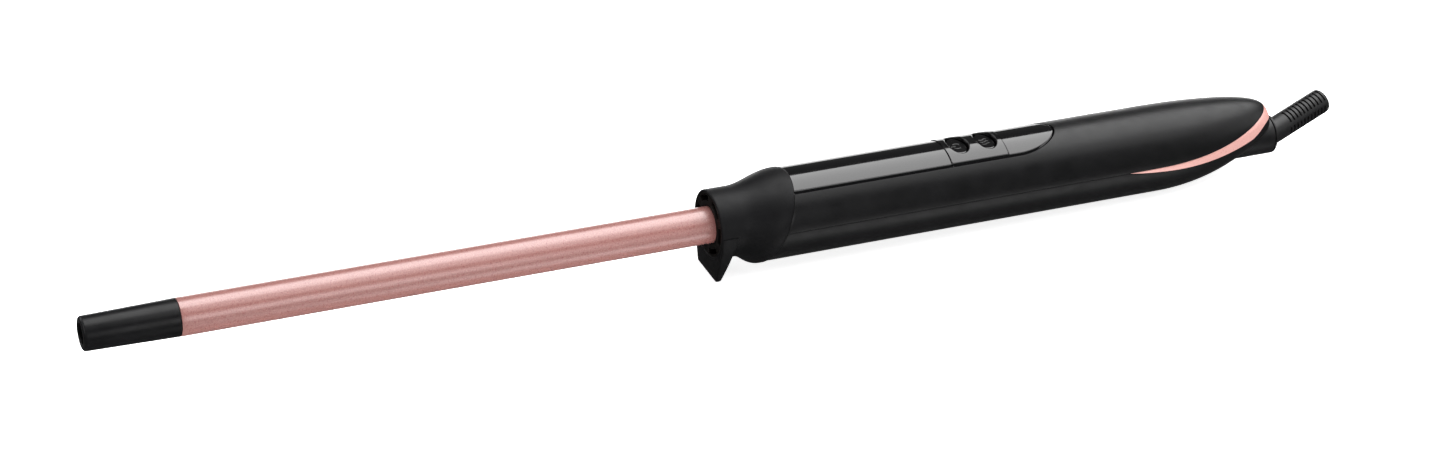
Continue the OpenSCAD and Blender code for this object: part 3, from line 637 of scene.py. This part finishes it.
def control_panel():
    """Raised inlay segment with its two oval button openings."""
    x0, x1 = INLAY_SEAMS[0] + INLAY_GAP / 2, INLAY_SEAMS[1] - INLAY_GAP / 2
    side = INLAY_SIDE - INLAY_EDGE[-1][0]
    split = (POWER_X + MODE_X) / 2
    n = 30
    outer, inner, faces, total = [], [], [], 0
    for xc, xa, xb in ((POWER_X, x0, split), (MODE_X, split, x1)):
        across = np.linspace(-side, side, n + 1)
        along = np.concatenate([[xa], np.linspace(xa + SEAM_SOFT, xb - SEAM_SOFT, n - 1), [xb]])
        edge = [(a, -side) for a in along[:-1]] + [(xb, b) for b in across[:-1]]
        edge += [(a, side) for a in along[:0:-1]] + [(xa, b) for b in across[:0:-1]]
        edge = np.array(edge)
        half = np.where(edge[:, 0] > xc, xb - xc, xc - xa)
        turn = np.arctan2(edge[:, 1] / side, (edge[:, 0] - xc) / half)
        hole = np.stack([xc + OPENING_A * np.cos(turn), OPENING_B * np.sin(turn)], -1)
        rings = [(0.0, 0.22), (0.03, 0.11), (0.08, 0.03), (0.15, 0.0), (0.3, 0.0), (0.5, 0.0), (0.7, 0.0),
                 (0.85, 0.0), (0.96, 0.0), (1.0, 0.0)]
        for drop_of, store in ((None, outer), (PANEL_WALL, inner)):
            pts = []
            for f, d in rings:
                p = hole + (edge - hole) * f
                at_end = (np.abs(p[:, 0] - x0) < 0.01) | (np.abs(p[:, 0] - x1) < 0.01)
                drop = (d + SEAM_STEP * at_end if drop_of is None else drop_of) - CONTROL_PROUD
                pts.append(np.stack([p[:, 0], p[:, 1], inlay_height(p[:, 1], drop)], -1))
            store.append(np.concatenate(pts))
        faces += [tuple(v + total for v in f) for f in grid_faces(len(rings), len(edge), False, True)]
        total += len(rings) * len(edge)
        for s in (1, -1):
            band = [(INLAY_SIDE - o, d) for o, d in INLAY_EDGE[::-1]]
            y = np.array([b[0] for b in band])[:, None] * s + 0 * along
            drop = np.array([b[1] for b in band])[:, None] + 0 * along - CONTROL_PROUD
            x = along[None, :] + 0 * y
            drop += SEAM_STEP * ((np.abs(x - x0) < 0.01) | (np.abs(x - x1) < 0.01))
            outer.append(np.stack([x, y, inlay_height(y, drop)], -1).reshape(-1, 3))
            below = inlay_height(y, PANEL_WALL - CONTROL_PROUD + 0 * y)
            inner.append(np.stack([x, y, below], -1).reshape(-1, 3))
            strip = grid_faces(*y.shape)
            faces += [tuple(v + total for v in (f if s > 0 else reversed(f))) for f in strip]
            total += y.size
    pts, faces = thickened(np.vstack(outer), np.vstack(inner), faces)
    return piece("control_panel", pts, faces, "handle", ["control_inlay"], "gloss_plastic", weld_first=False)


def key_height(x, y):
    """Shallow dish on top of a key."""
    return HANDLE_R - 0.75 + DISH_RISE - np.sqrt(DISH_R ** 2 - x ** 2 - y ** 2)


def button(name, node, xc, body):
    """Oval key with a dished top and a broad rounded rim."""
    a, b = OPENING_A - 0.2, OPENING_B - 0.2
    turn = np.linspace(0, 2 * math.pi, 96, endpoint=False)
    rim = [(0.0, 0.50), (0.06, 0.34), (0.18, 0.18), (0.36, 0.07), (0.6, 0.02), (0.8, 0.0)]
    base = np.stack([xc + a * np.cos(turn), b * np.sin(turn), 7.4 + 0 * turn], -1)
    pts = [base * np.array([0, 0, 1]) + np.array([xc, 0, 0]), base]
    for inset, dip in rim:
        x, y = (a - inset) * np.cos(turn), (b - inset) * np.sin(turn)
        pts.append(np.stack([xc + x, y, key_height(x, y) - dip], -1))
    last = rim[-1][0]
    for f in (0.85, 0.65, 0.45, 0.25, 0.1, 0.0):
        x, y = (a - last) * f * np.cos(turn), (b - last) * f * np.sin(turn)
        pts.append(np.stack([xc + x, y, key_height(x, y)], -1))
    faces = grid_faces(len(pts), len(turn), False, True)
    return piece(name, np.concatenate(pts), faces, body, [node], "gloss_plastic")


def key_mark(name, xc, body, paths):
    """Raised strokes on a key's top, each along a path of (x, y) points."""
    half, lift = 0.17, 0.12
    shape = [(-half - 0.05, -0.1), (-half, 0.7 * lift), (-0.5 * half, lift), (0.5 * half, lift),
             (half, 0.7 * lift), (half + 0.05, -0.1)]
    points, faces, total = [], [], 0
    for path in paths:
        path = np.asarray(path, float)
        along = np.gradient(path, axis=0)
        along /= np.linalg.norm(along, axis=1)[:, None]
        across = np.stack([-along[:, 1], along[:, 0]], -1)
        loops = []
        for off, up in shape:
            p = path + across * off
            loops.append(np.stack([xc + p[:, 0], p[:, 1], key_height(p[:, 0], p[:, 1]) + up], -1))
        grid = np.stack(loops, 1)
        rows, cols = len(path), len(shape)
        found = grid_faces(rows, cols, False, True)
        found += [tuple(range(cols)), tuple(reversed(range((rows - 1) * cols, rows * cols)))]
        points.append(grid.reshape(-1, 3))
        faces += [tuple(v + total for v in f) for f in found]
        total += rows * cols
    return piece(name, np.vstack(points), faces, body, [], "gloss_plastic", sharp=50)


def power_paths():
    """Open ring with a bar in its gap."""
    t = np.radians(np.linspace(40, 320, 40))
    ring = np.stack([-1.25 * np.cos(t), 1.25 * np.sin(t)], -1)
    bar = np.stack([np.linspace(-1.75, -0.35, 8), np.zeros(8)], -1)
    return [ring, bar]


def heat_paths():
    """Three rising waves."""
    x = np.linspace(-1.2, 1.2, 24)
    return [np.stack([x, y + 0.26 * np.sin(x * 2.6)], -1) for y in (-1.15, 0.0, 1.15)]


# ---- rod, tip and collar ------------------------------------------------

def rod():
    outline = [(TIP_JOINT_X + 0.05, 4.0), (TIP_JOINT_X + 0.05, ROD_R), (0.3, ROD_R), (0.3, ROD_R - 0.1),
               (ROD_END_X, ROD_R - 0.1), (ROD_END_X, 4.0)]
    profile = filleted(outline, [0, 0.12, 0, 0, 0, 0], 4, True)
    stations = np.linspace(TIP_JOINT_X + 2, -1, 24)
    at = int(np.argmax(profile[:, 0] > -0.5))
    profile = np.insert(profile, at, [(s, ROD_R) for s in stations], 0)
    pts, faces = turned(profile, 160)
    return piece("rod_tube", pts, faces, "handle", ["barrel"], "rose_coating")


def cool_tip():
    hole_r, depth = 2.9, 10.5            # of the recess in the tip's end
    outline = [(TIP_X + depth, 0.0), (TIP_X + depth, hole_r), (TIP_X, hole_r), (TIP_X, TIP_END_R),
               (TIP_JOINT_X - 0.05, ROD_R - 0.02), (TIP_JOINT_X - 0.05, 4.0), (TIP_JOINT_X + 8, 3.98),
               (TIP_JOINT_X + 8, 0.0)]
    profile = filleted(outline, [0, 0, 0.35, 0.95, 0.14, 0, 0, 0], 8)
    pts, faces = turned(profile, 128, False)
    return piece("cool_tip", pts, faces, "handle", ["tip_cap"], "tip_plastic")


def collar_bell():
    """Bell collar: rounded mouth, straight neck, flare that leans with the handle joint, rear lip."""
    n = 180
    a = np.arange(n) * 2 * math.pi / n
    c, s = np.cos(a), np.sin(a)

    def ring(r, x):
        return np.stack([x + 0 * a, r * s, r * c], -1)

    def at_joint(r):
        return JOINT_X + LEAN * r * c

    lip = (NECK_R - MOUTH_R) / 2
    rings = [ring(MOUTH_R, 2.2), ring(MOUTH_R, lip)]
    for q in np.radians(np.linspace(-80, 90, 13)):
        rings.append(ring(NECK_R - lip + lip * math.sin(q), lip - lip * math.cos(q)))
    rings.append(ring(NECK_R, 1.4))
    flare = 10.1 + 2.95 * c
    rise = COLLAR_CREST_R - NECK_R
    for t in np.linspace(0, 1, 30):
        r = NECK_R + rise * t * t * (3 - 2 * t)
        rings.append(ring(r, at_joint(r) - 1.15 - flare * (1 - t)))
    ridge = np.isclose(np.abs(s), 1)
    for r, back in ((COLLAR_CREST_R, 0.6), (COLLAR_CREST_R, 0.30), (COLLAR_CREST_R - 0.05, 0.14),
                    (COLLAR_CREST_R - 0.14, 0.05), (COLLAR_CREST_R - 0.28, 0.02), (9.97, 0.02),
                    (9.97, 5.4), (8.2, 5.4)):
        rings.append(ring(r, at_joint(r) - back))
    rings.append(ring(8.2, 2.2))
    for k in range(15, len(rings) - 7):
        rings[k][ridge] *= np.array([1, 1 + 0.035 / 10, 1 + 0.035 / 10])
    faces = grid_faces(len(rings), n, True, True)
    return piece("collar_bell", np.concatenate(rings), faces, "handle", ["collar"], "collar_plastic")


def vent_grille():
    """Ring in the collar's mouth with six arc slots."""
    x0, x1, r_in, r_out = 0.18, 2.15, ROD_R + 0.18, MOUTH_R - 0.02
    slot, half_arc = (6.6, 8.1), 19.5
    radii = [r_in, 5.6, 6.1, slot[0], 6.95, 7.35, 7.75, slot[1], 8.35, r_out]
    step = 1.5
    bm = bmesh.new()
    n = round(360 / step)
    turn = [math.radians(k * step) for k in range(n)]
    verts = [[bm.verts.new((x0 * MM, r * MM * math.sin(a), r * MM * math.cos(a))) for a in turn]
             for r in radii]
    for i in range(len(radii) - 1):
        for k in range(n):
            mid = (k + 0.5) * step
            in_slot = any(abs((mid - centre + 180) % 360 - 180) < half_arc for centre in range(30, 360, 60))
            if in_slot and slot[0] <= radii[i] < slot[1]:
                continue
            l = (k + 1) % n
            bm.faces.new((verts[i][k], verts[i + 1][k], verts[i + 1][l], verts[i][l]))
    grown = bmesh.ops.extrude_face_region(bm, geom=list(bm.faces))
    bmesh.ops.translate(bm, verts=[g for g in grown["geom"] if isinstance(g, bmesh.types.BMVert)],
                        vec=((x1 - x0) * MM, 0, 0))
    loose = [v for v in bm.verts if not v.link_faces]
    bmesh.ops.delete(bm, geom=loose, context="VERTS")
    bmesh.ops.recalc_face_normals(bm, faces=bm.faces)
    rims = [e for e in bm.edges if len(e.link_faces) == 2 and e.calc_face_angle() > 1.0]
    bmesh.ops.bevel(bm, geom=rims, offset=0.14 * MM, segments=2, affect="EDGES", profile=0.5)
    mesh = bpy.data.meshes.new("vent_grille")
    bm.to_mesh(mesh)
    bm.free()
    mesh.shade_smooth()
    mesh.set_sharp_from_angle(angle=math.radians(40))
    obj = bpy.data.objects.new("vent_grille", mesh)
    bpy.context.scene.collection.objects.link(obj)
    obj.data.materials.append(MATERIALS["vent_plastic"])
    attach(obj, "handle")
    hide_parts("vent_ring")
    return obj


def foot():
    """Rest foot: a tapering web under the collar's mouth, with softened edges."""
    half = [(9.75, 0.3), (9.35, -4), (8.3, -8.5), (6.4, FOOT_Z)]
    outline = np.array(half + [(-y, z) for y, z in reversed(half)])
    outline = filleted(outline, [0, 14, 14, 1.0, 1.0, 14, 14, 0], 7)
    steps = np.linalg.norm(np.diff(outline, axis=0), axis=1)
    at = np.concatenate([[0], np.cumsum(steps)])
    u = np.linspace(0, at[-1], 120)
    y, z = np.interp(u, at, outline[:, 0]), np.interp(u, at, outline[:, 1])
    ty, tz = np.gradient(y), np.gradient(z)
    norm = np.hypot(ty, tz)
    ny, nz = -tz / norm, ty / norm
    away = np.where(ny * y + nz * (z + 4) > 0, 1, -1)
    ny, nz = ny * away, nz * away
    polar = np.hypot(y, z)
    front = 0.3
    back = np.interp(z, [FOOT_Z, FOOT_Z + 0.6, 0], [1.75, 1.95, 5.0])
    edge = 0.42
    loop = []

    def lay(off, x):
        loop.append(np.stack([x + 0 * y, y + ny * off, z + nz * off], -1))

    def root(x):
        loop.append(np.stack([x + 0 * y, y * 9.1 / polar, z * 9.1 / polar], -1))

    root(front + 0.02)
    for q in np.radians([0, 22, 45, 68, 90]):
        lay(edge * (math.sin(q) - 1), front + edge * (1 - math.cos(q)))
    for q in np.radians([0, 30, 60, 90]):
        lay(edge * (math.cos(q) - 1), back - edge * (1 - math.sin(q)))
    root(back - 0.02)
    pts = np.stack(loop, 1).reshape(-1, 3)
    rows, cols = len(y), len(loop)
    faces = grid_faces(rows, cols, False, True)
    faces += [tuple(range(cols)), tuple(reversed(range((rows - 1) * cols, rows * cols)))]
    return piece("foot_web", pts, faces, "handle", ["rest_foot"], "collar_plastic", sharp=40)


# ---- cord outlet --------------------------------------------------------

def boss():
    outline = [(148, 4.7), (148, BOSS_R), (BOSS_END_X, BOSS_R), (BOSS_END_X, 4.0), (160, 4.0), (160, 4.7)]
    profile = filleted(outline, [0, 0, 0.16, 0, 0, 0], 4, True)
    pts, faces = turned(profile, 128)
    return piece("outlet_boss", pts + np.array([0, 0, BOSS_Z]), faces, "handle", ["tail_socket"],
                 "outlet_plastic")


def swivel():
    """Head of the cord swivel: a thin disc that thickens under the side the boot leans to."""
    n = 128
    a = np.arange(n) * 2 * math.pi / n
    toward = np.cos(a - BOOT_TURN)
    slant = math.tan(HEAD_LEAN)

    def flat(r, x):
        return np.stack([x + 0 * a, r * np.sin(a), BOSS_Z + r * np.cos(a)], -1)

    def face(r, back):
        x = np.maximum(SWIVEL_X + 0.35 + slant * r * toward - back, SWIVEL_X + 0.3)
        return np.stack([x, r * np.sin(a), BOSS_Z + r * np.cos(a)], -1)

    rings = [flat(3.0, SPINDLE_X), flat(SPINDLE_R, SPINDLE_X), flat(SPINDLE_R, SWIVEL_X),
             flat(BOSS_R - 0.12, SWIVEL_X)]
    rings += [flat(BOSS_R - 0.04, SWIVEL_X + 0.03), flat(BOSS_R, SWIVEL_X + 0.1)]
    fillet = 0.12 + 0.2 * np.maximum(0, toward)
    for q in np.radians(np.linspace(0, 90, 9)):
        rings.append(face(BOSS_R - fillet * (1 - math.cos(q)), fillet * (1 - math.sin(q))))
    for r in (4.2, 3.4, WIRE_R):
        rings.append(face(r, 0))
    bore_x = 170.5
    rings += [flat(WIRE_R, bore_x), flat(WIRE_R, SPINDLE_X)]
    faces = grid_faces(len(rings), n, True, True)
    return piece("swivel_head", np.concatenate(rings), faces, "swivel", ["cord_swivel"], "outlet_plastic")


def on_boot_axis(s, r, t):
    """Point in mm at distance s along the strain relief's axis, from radius and angle."""
    u, v = r * np.cos(t), r * np.sin(t)
    x = BEND_X + s * math.cos(BOOT_ANGLE) + u * math.sin(BOOT_ANGLE)
    z = s * math.sin(BOOT_ANGLE) - u * math.cos(BOOT_ANGLE)
    y = v * math.cos(BOOT_TURN) + z * math.sin(BOOT_TURN)
    z = z * math.cos(BOOT_TURN) - v * math.sin(BOOT_TURN)
    return np.stack([np.maximum(x, SWIVEL_X + 0.05), y, BOSS_Z + z], -1)


def swivel_stub():
    """Tube of the swivel that carries the strain relief, seen only down the cord bore."""
    t = np.linspace(0, 2 * math.pi, 64, endpoint=False)
    loop = [(0.5, WIRE_R), (0.5, STUB_R - 0.05), (STUB_LEN - 0.15, STUB_R - 0.05), (STUB_LEN, STUB_R - 0.2),
            (STUB_LEN, WIRE_R + 0.15), (STUB_LEN - 0.15, WIRE_R)]
    pts = [on_boot_axis(s, r + 0 * t, t) for s, r in loop]
    return piece("swivel_stub", np.concatenate(pts), grid_faces(len(pts), len(t), True, True), "swivel", [],
                 "outlet_plastic")


def boot():
    """Ribbed strain relief: four staggered rows of slots round a rubber sleeve."""
    rows, pitch, width, dip, first = 11, 1.36, 0.6, 0.5, 1.85
    turn, arc = 36.4, 70.0
    cuts = {0: [], 1: []}
    for parity in (0, 1):
        for i in range(rows):
            s = BOOT_LEN - first - (i + parity / 2) * pitch
            cuts[parity].append((s, s + width))
    wall = 0.07
    end = 0.9
    stations = [-1.5, 0.0, 2.0, 4.0]
    for parity in (0, 1):
        for lo, hi in cuts[parity]:
            stations += [lo, lo + wall, hi - wall, hi]
    stations = sorted(s for s in stations if s <= BOOT_LEN - end)
    angles = []
    for k in range(4):
        a0 = turn + 90 * k
        angles += [a0, a0 + 1.4] + list(np.linspace(a0 + 1.4, a0 + arc - 1.4, 11)[1:]) + [a0 + arc]
        angles += list(np.linspace(a0 + arc, a0 + 90, 5)[1:-1])
    angles = np.array(angles)

    def slot_depth(s):
        out = np.zeros(len(angles))
        for k in range(4):
            deep = (angles > turn + 90 * k + 0.7) & (angles < turn + 90 * k + arc - 0.7)
            for lo, hi in cuts[k % 2]:
                if lo + wall / 2 < s < hi - wall / 2:
                    out[deep] = dip
        return out

    loop = [(s, BOOT_R - slot_depth(s)) for s in stations]
    for q in np.radians(np.linspace(0, 90, 9)):
        loop.append((BOOT_LEN - end * (1 - math.sin(q)), BOOT_R - end * (1 - math.cos(q)) + 0 * angles))
    for s, r in ((BOOT_LEN, CORD_R + 0.06), (BOOT_LEN - 0.06, CORD_R), (STUB_LEN + 0.02, CORD_R),
                 (STUB_LEN + 0.02, STUB_R), (-1.5, STUB_R)):
        loop.append((s, r + 0 * angles))
    t = np.radians(angles)
    pts = [on_boot_axis(s, r, t) for s, r in loop]
    faces = grid_faces(len(pts), len(angles), True, True)
    return piece("boot_ribbed", np.concatenate(pts), faces, "swivel", ["strain_relief", "ribbed_jacket"],
                 "boot_rubber")


upper_case()
lower_case()
for i, x in enumerate(WELL_X):
    screw_well(f"screw_well_{i}", x)
trim()
tail_plug()
inlay_strip("inlay_front", ["front_inlay"], JOINT_X, INLAY_SEAMS[0] - INLAY_GAP / 2, lean_front=True)
inlay_strip("inlay_rear", ["rear_inlay"], INLAY_SEAMS[1] + INLAY_GAP / 2, INLAY_END_X, round_end=True)
control_panel()
button("key_power", "power_button", POWER_X, "power_button")
button("key_mode", "mode_button", MODE_X, "mode_button")
key_mark("power_mark", POWER_X, "power_button", power_paths())
key_mark("heat_mark", MODE_X, "mode_button", heat_paths())
rod()
cool_tip()
collar_bell()
vent_grille()
foot()
boss()
swivel()
swivel_stub()
boot()


# ---- floor, lights and camera -------------------------------------------

def floor():
    """Large pale table top that touches the foot's sole and the underside of the handle."""
    rise = math.atan((HANDLE_R - 0.05 + FOOT_Z) / (TAIL_X - 1.8))
    mesh = bpy.data.meshes.new("floor")
    size, cells = 6000.0, 8
    line = np.linspace(-size, size, cells + 1)
    gx, gy = np.meshgrid(line, line, indexing="ij")
    z = FOOT_Z - 0.03 - (gx - 1.8) * math.tan(rise)
    pts = np.stack([gx, gy, z], -1).reshape(-1, 3) * MM
    mesh.from_pydata([tuple(p) for p in pts], [], grid_faces(cells + 1, cells + 1))
    obj = bpy.data.objects.new("floor", mesh)
    bpy.context.scene.collection.objects.link(obj)
    mat, tree, shader = new_material("floor_white")
    shader.inputs["Roughness"].default_value = 0.8
    shader.inputs["Specular IOR Level"].default_value = 0.1
    shader.inputs["Emission Color"].default_value = (1, 1, 1, 1)
    shader.inputs["Emission Strength"].default_value = 0.8
    tree.links.new(ramp(tree, noise(tree, 1.5, 2.0), [(0.3, (0.90, 0.90, 0.90)), (0.7, (0.93, 0.93, 0.93))]),
                   shader.inputs["Base Color"])
    mesh.materials.append(mat)
    obj.visible_glossy = False           # the lights under it still reach the object
    obj.visible_shadow = False


floor()

# Axes of the view: how the object's own axes lie in the camera's right, up and away
EYE_DISTANCE, EYE_DROP, AIM_X = 902, 4.09, 3.5
TURN, TILT, ROLL = math.radians(21.0), math.radians(9.98), math.radians(33.0)
x_axis = np.array([math.cos(TURN) * math.cos(TILT), math.cos(TURN) * math.sin(TILT), math.sin(TURN)])
n1 = np.array([-math.sin(TILT), math.cos(TILT), 0])
n2 = np.array([math.sin(TURN) * math.cos(TILT), math.sin(TURN) * math.sin(TILT), -math.cos(TURN)])
z_axis = math.cos(ROLL) * n1 + math.sin(ROLL) * n2
y_axis = math.sin(ROLL) * n1 - math.cos(ROLL) * n2
right, up, away = (Vector((x_axis[i], y_axis[i], z_axis[i])) for i in range(3))
eye = Vector((AIM_X, 0, 0)) - up * EYE_DROP - away * EYE_DISTANCE

camera_data = bpy.data.cameras.new("camera")
camera_data.sensor_width = 36.0
camera_data.lens = 85.0
camera_data.clip_start, camera_data.clip_end = 0.05, 50.0
camera = bpy.data.objects.new("camera", camera_data)
bpy.context.scene.collection.objects.link(camera)
camera.matrix_world = Matrix((
    (right.x, up.x, -away.x, eye.x * MM), (right.y, up.y, -away.y, eye.y * MM),
    (right.z, up.z, -away.z, eye.z * MM), (0, 0, 0, 1)))
bpy.context.scene.camera = camera


def soft_light(name, place, target, size, radiance):
    """Soft box at a place in metres, square to its target, with its first side along X."""
    z = (Vector(place) - Vector(target)).normalized()
    x = (Vector((1, 0, 0)) - z * z.x).normalized()
    y = z.cross(x)
    data = bpy.data.lights.new(name, "AREA")
    data.shape = "RECTANGLE"
    data.size, data.size_y = size
    data.energy = radiance * math.pi * size[0] * size[1]
    obj = bpy.data.objects.new(name, data)
    bpy.context.scene.collection.objects.link(obj)
    obj.matrix_world = Matrix((
        (x.x, y.x, z.x, place[0]), (x.y, y.y, z.y, place[1]), (x.z, y.z, z.z, place[2]), (0, 0, 0, 1)))


soft_light("overhead", (0.32, 0.20, 0.89), (0, 0, 0), (1.45, 0.86), 6.0)
soft_light("overhead_front", (0.38, -0.45, 0.84), (0, 0, 0), (0.80, 0.46), 2.4)
soft_light("backdrop", (0.40, 0.85, -0.14), (0, 0, 0), (0.90, 0.40), 2.2)
soft_light("front_left", (0.06, -0.73, 0.17), (-0.08, 0, 0), (0.27, 0.33), 4.0)
soft_light("front_low", (0.34, -0.60, -0.46), (0.03, 0, 0), (0.50, 0.34), 2.2)
soft_light("left_high", (-0.85, -0.15, 0.60), (0, 0, 0), (0.60, 0.90), 2.4)
soft_light("back_left", (-0.60, 0.80, 0.35), (0, 0, 0), (0.60, 0.50), 2.4)
soft_light("right", (0.95, -0.30, 0.30), (0.1, 0, 0), (0.60, 0.50), 2.0)

# Dim surroundings for light and reflections. The camera itself sees them as white
world = bpy.data.worlds.new("studio")
world.use_nodes = True
nodes, links = world.node_tree.nodes, world.node_tree.links
dim, white = nodes["Background"], nodes.new("ShaderNodeBackground")
dim.inputs["Color"].default_value = (1, 1, 1, 1)
dim.inputs["Strength"].default_value = 0.09
white.inputs["Color"].default_value = (1, 1, 1, 1)
white.inputs["Strength"].default_value = 1.0
path, mix = nodes.new("ShaderNodeLightPath"), nodes.new("ShaderNodeMixShader")
links.new(path.outputs["Is Camera Ray"], mix.inputs["Fac"])
links.new(dim.outputs["Background"], mix.inputs[1])
links.new(white.outputs["Background"], mix.inputs[2])
links.new(mix.outputs["Shader"], nodes["World Output"].inputs["Surface"])
bpy.context.scene.world = world
bpy.context.scene.view_settings.view_transform = "Standard"
